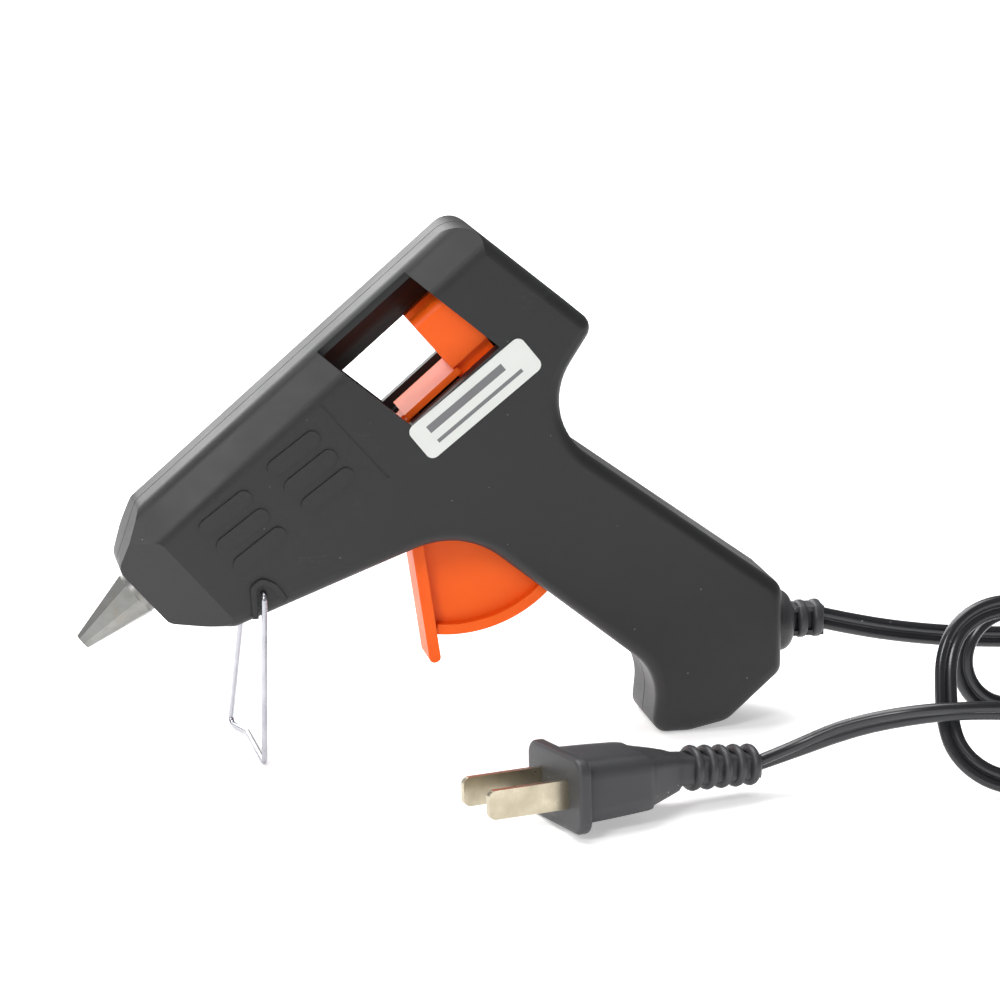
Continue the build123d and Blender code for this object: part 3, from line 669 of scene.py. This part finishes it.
@dataclass
class FlatFlex(Maker):
    """The flat twin cord: gland run, tied hank and plug run, on one smooth line."""

    width: float = 5.2 * MM
    thick: float = 2.6 * MM
    length: float = 1.09
    tie_x: float = 150.6 * MM
    tie_y: float = -46.0 * MM
    tie_z: float = 21.5 * MM
    strand_pitch: float = 2.75 * MM
    lift: float = 2.85 * MM
    gland_run: tuple[Place, ...] = (
        (0.0872, 0.0, 0.0225), (0.0953, 0.0, 0.0203), (0.1075, 0.0002, 0.0177),
        (0.1210, 0.0002, 0.0158), (0.1350, 0.0006, 0.0146), (0.1480, -0.0014, 0.0146),
        (0.1575, -0.0085, 0.0160), (0.1610, -0.0190, 0.0185), (0.1590, -0.0300, 0.0225))
    near_loop: tuple[Place, ...] = (
        (0.1280, -0.0545, 0.0345), (0.1160, -0.0550, 0.0392), (0.1075, -0.0556, 0.0388),
        (0.1008, -0.0570, 0.0350), (0.0978, -0.0590, 0.0290), (0.0972, -0.0612, 0.0225),
        (0.0970, -0.0635, 0.0160), (0.0982, -0.0665, 0.0100), (0.1025, -0.0705, 0.0056),
        (0.1100, -0.0725, 0.0030), (0.1190, -0.0705, 0.0030), (0.1280, -0.0645, 0.0065),
        (0.1370, -0.0570, 0.0130))
    plug_run: tuple[Place, ...] = (
        (0.1376, -0.0601, 0.0220), (0.1268, -0.0666, 0.0200), (0.1140, -0.0708, 0.0192),
        (0.1010, -0.0716, 0.0206), (0.0880, -0.0696, 0.0200), (0.0745, -0.0630, 0.0158),
        (0.0626, -0.0580, 0.0094), (0.0545, -0.0586, 0.0072))
    lobes: tuple[tuple[float, float, float, float, float], ...] = (
        (1, 201.6, -58.0, 18.0, -0.2), (-1, 111.6, -31.5, 11.8, 0.05), (1, 199.0, -34.0, 16.0, 0.15),
        (-1, 122.5, -49.0, 15.6, -0.05), (1, 194.5, -49.0, 16.8, 0.0), (-1, 128.5, -41.0, 13.2, 0.05),
        (1, 190.0, -42.0, 14.0, 0.05))
    turns: tuple[tuple[float, float, float], ...] = (
        (20 * MM, 0.25, 1.0), (46 * MM, 1.0, 0.25), (95 * MM, 0.75, 0.65))
    twist_rate: float = 0.13
    line: list[Vector] = field(default_factory=list, init=False)

    def lobe(self, side: int, outer: float, y: float, radius: float, lean: float) -> list[Vector]:
        """Work out the control points of one end loop of the hank.

        Args:
            side: -1 for a left loop, from top to bottom, or 1 for a right one.
            outer: X of its outermost point, in millimetres.
            y: Y of its middle, in millimetres.
            radius: Radius of its round end, in millimetres.
            lean: Y gained for each unit of height.

        Returns:
            Points that bend round the end, a NURBS spline's control points.
        """
        steps, small, drop = 6, 12.0, 2.0
        reach = radius / math.cos(math.pi / steps / 2)
        height = self.tie_z / MM - (drop if radius < small else 0.0)
        middle = Vector((outer - side * radius, y, height))
        points = []
        for i in range(steps + 1):
            turn = math.pi * i / steps
            rise = -side * reach * math.cos(turn)
            points.append((middle + Vector((side * reach * math.sin(turn), lean * rise, rise))) * MM)
        return points

    def strand(self, index: int, row: int) -> Vector:
        """Work out where one strand passes through the tie.

        Args:
            index: Which strand of its row, from the near side.
            row: 1 for the upper row, -1 for the lower.

        Returns:
            The point in the tie.
        """
        offset = (index - 2) if row > 0 else (index - 1.5)
        return Vector((self.tie_x, self.tie_y + offset * self.strand_pitch, self.tie_z + row * self.lift))

    def route(self) -> list[Vector]:
        """Work out the whole cord's control points, from the gland to the plug.

        Returns:
            The control points of one NURBS spline.
        """
        upper, lower = (1, 4, 3, 2, 0), (0, 3, 1, 2)
        points = [Vector(p) for p in self.gland_run]
        points += [self.strand(upper[0], 1)] + [Vector(p) for p in self.near_loop] + [self.strand(lower[0], -1)]
        for i, lobe in enumerate(self.lobes, start=1):
            end = self.lobe(*lobe)
            there = self.strand(lower[i // 2], -1) if lobe[0] < 0 else self.strand(upper[(i + 1) // 2], 1)
            points.append(points[-1].lerp(end[0], 0.5))
            points += end
            points += [end[-1].lerp(there, 0.5), there]
        return points + [Vector(p) for p in self.plug_run]

    def facing(self, left: float) -> Vector:
        """Work out which way the flex's broad side faces.

        Args:
            left: Distance to the plug along the cord.

        Returns:
            The direction, level across the gun but for the last stretches.
        """
        for reach, across, up in self.turns:
            if left < reach:
                return Vector((0.0, across, up)).normalized()
        return Vector((0.0, 1.0, 0.0))

    def frames(self, line: list[Vector]) -> list[Matrix]:
        """Work out the flex's frame at each point of its line.

        Args:
            line: The points that the cord follows.

        Returns:
            Matrices with X across the flex's width and Z along it.
        """
        left = line_length(line)
        broad, frames = Vector((0.0, 1.0, 0.0)), []
        for last, point, coming in zip(line[:1] + line, line, line[1:] + line[-1:]):
            ahead = (coming - last).normalized()
            wanted = self.facing(left)
            wanted -= ahead * wanted.dot(ahead)
            if wanted.dot(broad) < 0:
                wanted.negate()
            broad = (broad - ahead * broad.dot(ahead)).normalized()
            broad = (broad + wanted * self.twist_rate).normalized()
            turn = Matrix((broad.cross(ahead), broad, ahead)).transposed().to_4x4()
            frames.append(Matrix.Translation(point) @ turn)
            left -= (coming - point).length
        return frames

    def outline(self, work: bmesh.types.BMesh) -> list[bmesh.types.BMEdge]:
        """Add the flex's outline: two round cores joined by a thin web.

        Args:
            work: The mesh being made.

        Returns:
            The closed ring's edges.
        """
        radius, ring = self.thick / 2, []
        for side in (1, -1):
            for i in range(13):
                angle = math.radians(-150 + 25 * i)
                x = side * (self.width / 2 - radius + radius * math.cos(angle))
                ring.append(work.verts.new((x, side * radius * math.sin(angle), 0.0)))
        return [work.edges.new((a, b)) for a, b in zip(ring, ring[1:] + ring[:1])]

    def sweep(self, line: list[Vector]) -> bpy.types.Mesh:
        """Carry the outline along the line.

        Args:
            line: The points that the cord follows.

        Returns:
            The flex's closed mesh.
        """
        frames = self.frames(line)
        work = bmesh.new()
        edges = self.outline(work)
        bmesh.ops.transform(work, matrix=frames[0], verts=work.verts)
        ends = list(edges)
        for last, here in zip(frames, frames[1:]):
            drawn = bmesh.ops.extrude_edge_only(work, edges=edges)["geom"]
            verts = [part for part in drawn if isinstance(part, bmesh.types.BMVert)]
            edges = [part for part in drawn if isinstance(part, bmesh.types.BMEdge)
                     and all(vertex in verts for vertex in part.verts)]
            bmesh.ops.transform(work, matrix=here @ last.inverted(), verts=verts)
        bmesh.ops.contextual_create(work, geom=ends)
        bmesh.ops.contextual_create(work, geom=edges)
        return finished("flat_cord", work)

    def build(self) -> bpy.types.Object:
        """Build the cord along its spline.

        Returns:
            The cord's object.
        """
        self.line = line_points(smooth_line(self.route(), resolution=6))
        LOG.info("cord line is %.3f m long", line_length(self.line))
        cord = self.piece("flat_cord", self.sweep(self.line), Look.CORD, "housing")
        cord.data.set_sharp_from_angle(angle=math.radians(45))
        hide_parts("power_cord", "cord_hank", "plug_cord")
        return cord


@dataclass
class TwistTie(Maker):
    """Plastic-covered wire, wound twice round the hank and twisted."""

    radius: float = 0.8 * MM
    half_y: float = 8.3 * MM
    half_z: float = 7.2 * MM
    middle: Place = (0.1506, -0.046, 0.0215)

    def windings(self) -> list[Vector]:
        """Work out the tie's line: two turns round the hank, then a twisted tail.

        Returns:
            The control points of one NURBS spline.
        """
        steps, turns, spread = 32, 2, 3.2 * MM
        points = []
        for i in range(steps + 1):
            angle = math.radians(60) + 2 * math.pi * turns * i / steps
            bulge = 1.0 / max(abs(math.cos(angle)), abs(math.sin(angle))) ** 0.6
            points.append(Vector(self.middle) + Vector((
                (i / steps - 0.5) * spread, math.cos(angle) * self.half_y * bulge,
                math.sin(angle) * self.half_z * bulge)))
        tail = points[-1]
        for i in range(1, 7):
            swing = 0.7 * MM * math.cos(i * math.pi / 2)
            points.append(tail + Vector((swing, 0.4 * MM * i, 1.15 * MM * i)))
        return points

    def build(self) -> bpy.types.Object:
        """Build the tie.

        Returns:
            The tie's object.
        """
        route = smooth_line(self.windings(), resolution=4)
        tie = self.piece("twist_tie", swept_mesh(route, round_profile(self.radius, 10)), Look.TIE, "housing")
        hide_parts("cord_tie")
        return tie


@dataclass
class Plug(Maker):
    """Moulded plug: flange, grip block, waist and ribbed tail."""

    place: Place = (0.0064, -0.070, 0.0090)
    turn: float = math.radians(13.5)
    droop: float = math.radians(0.3)
    roll: float = math.radians(-4.0)
    tail_droop: float = math.radians(4.5)
    waist: float = 30.0 * MM
    flange: tuple[float, float, float] = (3.0 * MM, 25.6 * MM, 16.6 * MM)
    corner: float = 0.26
    grip_sizes: tuple[tuple[float, float, float], ...] = (
        (2.6, 20.6, 13.8), (4.6, 20.4, 13.6), (9.0, 20.0, 13.3), (14.0, 19.4, 12.9), (18.5, 18.8, 12.4),
        (19.6, 18.2, 12.0), (20.2, 16.8, 11.0), (22.0, 15.2, 10.3), (25.0, 12.6, 9.2), (28.0, 10.2, 7.8))

    def matrix(self) -> Matrix:
        """Work out the matrix from the plug's frame, +X towards the cord.

        Returns:
            The matrix.
        """
        turned = Matrix.Rotation(self.turn, 4, "Z") @ Matrix.Rotation(self.droop, 4, "Y")
        return Matrix.Translation(self.place) @ turned @ Matrix.Rotation(self.roll, 4, "X")

    def tail_matrix(self) -> Matrix:
        """Return the matrix from the tail's frame, which starts at the waist."""
        start = Matrix.Translation((self.waist, 0, 0))
        return self.matrix() @ start @ Matrix.Rotation(self.tail_droop, 4, "Y")

    def ring(self, work: bmesh.types.BMesh, x: float, width: float, height: float, place: Matrix) -> list:
        """Add a rounded rectangle of edges across the plug.

        Args:
            work: The mesh being made.
            x: Where along the plug.
            width: Full size across.
            height: Full size upwards.
            place: Matrix of the frame that x is in.

        Returns:
            The ring's edges.
        """
        turned = place @ Matrix.Translation((x, 0, 0)) @ Matrix.Rotation(math.pi / 2, 4, "Y")
        made = bmesh.ops.create_circle(work, segments=32, radius=1.0)
        power = 2 / self.corner
        for vertex in made["verts"]:
            a, b = vertex.co.x, vertex.co.y
            swell = (abs(a) ** power + abs(b) ** power) ** (-1 / power)
            vertex.co = turned @ Vector((a * swell * height / 2, b * swell * width / 2, 0))
        return list({edge for vertex in made["verts"] for edge in vertex.link_edges})

    def grip(self) -> bpy.types.Mesh:
        """Make the grip block, waist and tail as one skin over rounded sections.

        Returns:
            The mesh.
        """
        work = bmesh.new()
        rings = [self.ring(work, x * MM, w * MM, h * MM, self.matrix()) for x, w, h in self.grip_sizes]
        for i in range(12):
            x = (-0.6 + 20.0 * i / 11) * MM
            wide, high = (8.2 - 0.14 * i) * MM, (6.6 - 0.12 * i) * MM
            rings.append(self.ring(work, x, wide, high, self.tail_matrix()))
        for one, two in zip(rings, rings[1:]):
            bmesh.ops.bridge_loops(work, edges=one + two)
        bmesh.ops.holes_fill(work, edges=work.edges, sides=0)
        return finished("plug_grip", work)

    def ribs(self) -> bpy.types.Mesh:
        """Make the five soft ribs round the tail.

        Returns:
            The mesh.
        """
        work = bmesh.new()
        for i in range(5):
            across, tube = (4.0 - 0.11 * i) * MM, 1.05 * MM
            place = self.tail_matrix() @ Matrix.Translation(((3.4 + 3.6 * i) * MM, 0, 0))
            before = set(work.verts)
            verts = bmesh.ops.create_circle(work, segments=12, radius=tube)["verts"]
            bmesh.ops.transform(work, matrix=Matrix.Rotation(math.pi / 2, 4, "X"), verts=verts)
            bmesh.ops.translate(work, vec=(0, 0, across), verts=verts)
            edges = list({edge for vertex in verts for edge in vertex.link_edges})
            bmesh.ops.spin(work, geom=verts + edges, axis=(1, 0, 0), cent=(0, 0, 0), steps=36,
                           angle=2 * math.pi, use_merge=True)
            bmesh.ops.transform(work, matrix=place @ Matrix.Scale(1.08, 4, (0, 1, 0)),
                                verts=[vertex for vertex in work.verts if vertex not in before])
        return finished("plug_ribs", work)

    def face(self) -> bpy.types.Mesh:
        """Make the flange, its corners and rims rounded.

        Returns:
            The mesh.
        """
        work = bmesh.new()
        bmesh.ops.create_cube(work, size=1.0)
        thick, wide, high = self.flange
        bmesh.ops.scale(work, vec=(thick, wide, high), verts=work.verts)
        for along, offset, segments in ((True, 3.4 * MM, 8), (False, 0.9 * MM, 4)):
            edges = [e for e in work.edges
                     if (abs(e.verts[0].co.x - e.verts[1].co.x) > thick / 2) == along]
            bmesh.ops.bevel(work, geom=edges, offset=offset, segments=segments, profile=0.5,
                            affect="EDGES", material=-1)
        move = self.matrix() @ Matrix.Translation((thick / 2, 0, 0))
        bmesh.ops.transform(work, matrix=move, verts=work.verts)
        return finished("plug_flange", work)

    def build(self) -> list[bpy.types.Object]:
        """Build the plug's moulded pieces.

        Returns:
            Flange, grip and ribs.
        """
        flange = self.piece("plug_flange", self.face(), Look.PLUG, "housing")
        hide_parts("plug_face")
        grip = self.piece("plug_grip", self.grip(), Look.PLUG, "housing")
        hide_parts("plug_body")
        ribs = self.piece("plug_ribs", self.ribs(), Look.PLUG, "housing")
        return [flange, grip, ribs]


@dataclass
class ReturnSpring(Maker):
    """Coil spring that pushes the carriage back, built at one fixed length."""

    start: float = 68.35 * MM
    end: float = 85.15 * MM
    height: float = -12.6 * MM
    radius: float = 1.8 * MM
    wire: float = 0.25 * MM
    coils: float = 8.0

    def coil(self) -> list[Vector]:
        """Work out the coil's line, its end coils closer together.

        Returns:
            The control points of one NURBS spline.
        """
        place = barrel_matrix(self.start + self.wire, 0.0, self.height)
        reach = self.end - self.start - 2 * self.wire
        steps = int(self.coils * 14)
        points = []
        for i in range(steps + 1):
            share = i / steps
            angle = 2 * math.pi * self.coils * share
            along = reach * (share - 0.045 * math.sin(2 * math.pi * share))
            points.append(place @ Vector((along, self.radius * math.cos(angle), self.radius * math.sin(angle))))
        return points

    def build(self) -> bpy.types.Object:
        """Build the spring.

        Returns:
            The spring's object.
        """
        mesh = swept_mesh(smooth_line(self.coil(), resolution=3), round_profile(self.wire, 8))
        spring = self.piece("coil_spring", mesh, Look.SPRING, "housing")
        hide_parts("return_spring")
        anchor = barrel_point(self.start, 0.0, self.height)
        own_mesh(spring)
        return spring


# ------------------------------------------------------------------------ stage
@dataclass
class Studio:
    """Pale floor, soft lights and the camera."""

    azimuth: float = math.radians(-12)
    elevation: float = math.radians(14)
    distance: float = 0.8
    aim: Place = (0.0095, 0.0, 0.0552)
    lens: float = 125.0
    sensor: float = 36.0
    floor_half: float = 0.75
    floor_glow: float = 0.38
    fill: float = 0.31
    backdrop: float = 1.07

    def camera(self) -> None:
        """Place the camera and make it the scene's."""
        back = Vector((math.sin(self.azimuth) * math.cos(self.elevation),
                       -math.cos(self.azimuth) * math.cos(self.elevation), math.sin(self.elevation)))
        data = bpy.data.cameras.new("camera")
        data.lens, data.sensor_width = self.lens, self.sensor
        data.clip_start, data.clip_end = 0.05, 20.0
        camera = bpy.data.objects.new("camera", data)
        camera.location = Vector(self.aim) + back * self.distance
        camera.rotation_euler = back.to_track_quat("Z", "Y").to_euler()
        bpy.context.scene.collection.objects.link(camera)
        bpy.context.scene.camera = camera

    @staticmethod
    def lamp(name: str, place: Place, aim: Place, size: float, power: float) -> None:
        """Add one soft square light.

        Args:
            name: The light's name.
            place: Where it hangs.
            aim: What it points at.
            size: Length of its side.
            power: Its power in watts.
        """
        data = bpy.data.lights.new(name, "AREA")
        data.shape, data.size, data.energy = "SQUARE", size, power
        lamp = bpy.data.objects.new(name, data)
        lamp.location = place
        lamp.rotation_euler = (Vector(place) - Vector(aim)).to_track_quat("Z", "Y").to_euler()
        bpy.context.scene.collection.objects.link(lamp)

    def floor(self) -> None:
        """Add the pale floor."""
        work = bmesh.new()
        bmesh.ops.create_grid(work, x_segments=1, y_segments=1, size=self.floor_half)
        mesh = bpy.data.meshes.new("floor")
        work.to_mesh(mesh)
        work.free()
        material = bpy.data.materials.new("floor_paper")
        material.use_nodes = True
        shader = material.node_tree.nodes["Principled BSDF"]
        for name, value in (("Base Color", rgba((0.93, 0.93, 0.93))), ("Roughness", 0.7),
                            ("Specular IOR Level", 0.1), ("Emission Color", rgba(WHITE)),
                            ("Emission Strength", self.floor_glow)):
            shader.inputs[name].default_value = value
        mesh.materials.append(material)
        floor = bpy.data.objects.new("floor", mesh)
        bpy.context.scene.collection.objects.link(floor)

    def world(self) -> None:
        """Light the scene all round, dimmer than the white that the camera sees."""
        world = bpy.data.worlds.new("studio")
        world.use_nodes = True
        world.node_tree.nodes.clear()
        tree = Tree(world.node_tree)
        seen = tree.put("LightPath").outputs["Is Camera Ray"]
        strength = tree.math("ADD", tree.math("MULTIPLY", seen, self.backdrop - self.fill), self.fill)
        light = tree.put("Background", Color=rgba(WHITE), Strength=strength)
        tree.put("OutputWorld", Surface=light.outputs[0])
        bpy.context.scene.world = world

    def build(self) -> None:
        """Build the studio."""
        bpy.context.scene.view_settings.view_transform = "Standard"
        self.camera()
        self.floor()
        self.world()
        self.lamp("back_light", (-0.35, 1.05, 0.62), (0.0, 0.0, 0.05), 0.9, 10.0)
        self.lamp("top_light", (-0.2, 0.25, 1.1), (0.0, 0.0, 0.0), 0.9, 15.0)
        self.lamp("left_light", (-0.62, -0.76, 0.70), (0.0, 0.0, 0.06), 0.3, 5.0)


def dress(frame: dict, materials: dict[Look, bpy.types.Material]) -> None:
    """Give every carried-over node its finish.

    Args:
        frame: The loaded frame.
        materials: The material of each look.
    """
    for name, look in NODE_LOOKS.items():
        shape = frame["nodes"][name]
        shape.data.materials.clear()
        shape.data.materials.append(materials[look])
        LOG.info("%s dressed as %s", name, look.value.name)


def main() -> None:
    """Load the frame, build and dress every piece, and set the studio."""
    logging.basicConfig(level=logging.INFO, format="%(name)s: %(message)s")
    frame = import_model()
    effects = Effects()
    materials = {look: look.value.build(effects) for look in Look}
    dress(frame, materials)
    flex = FlatFlex(materials)
    cord = flex.build()
    tie = TwistTie(materials).build()
    plug = Plug(materials).build()
    ReturnSpring(materials).build()
    Studio().build()


if __name__ == "__main__":
    main()
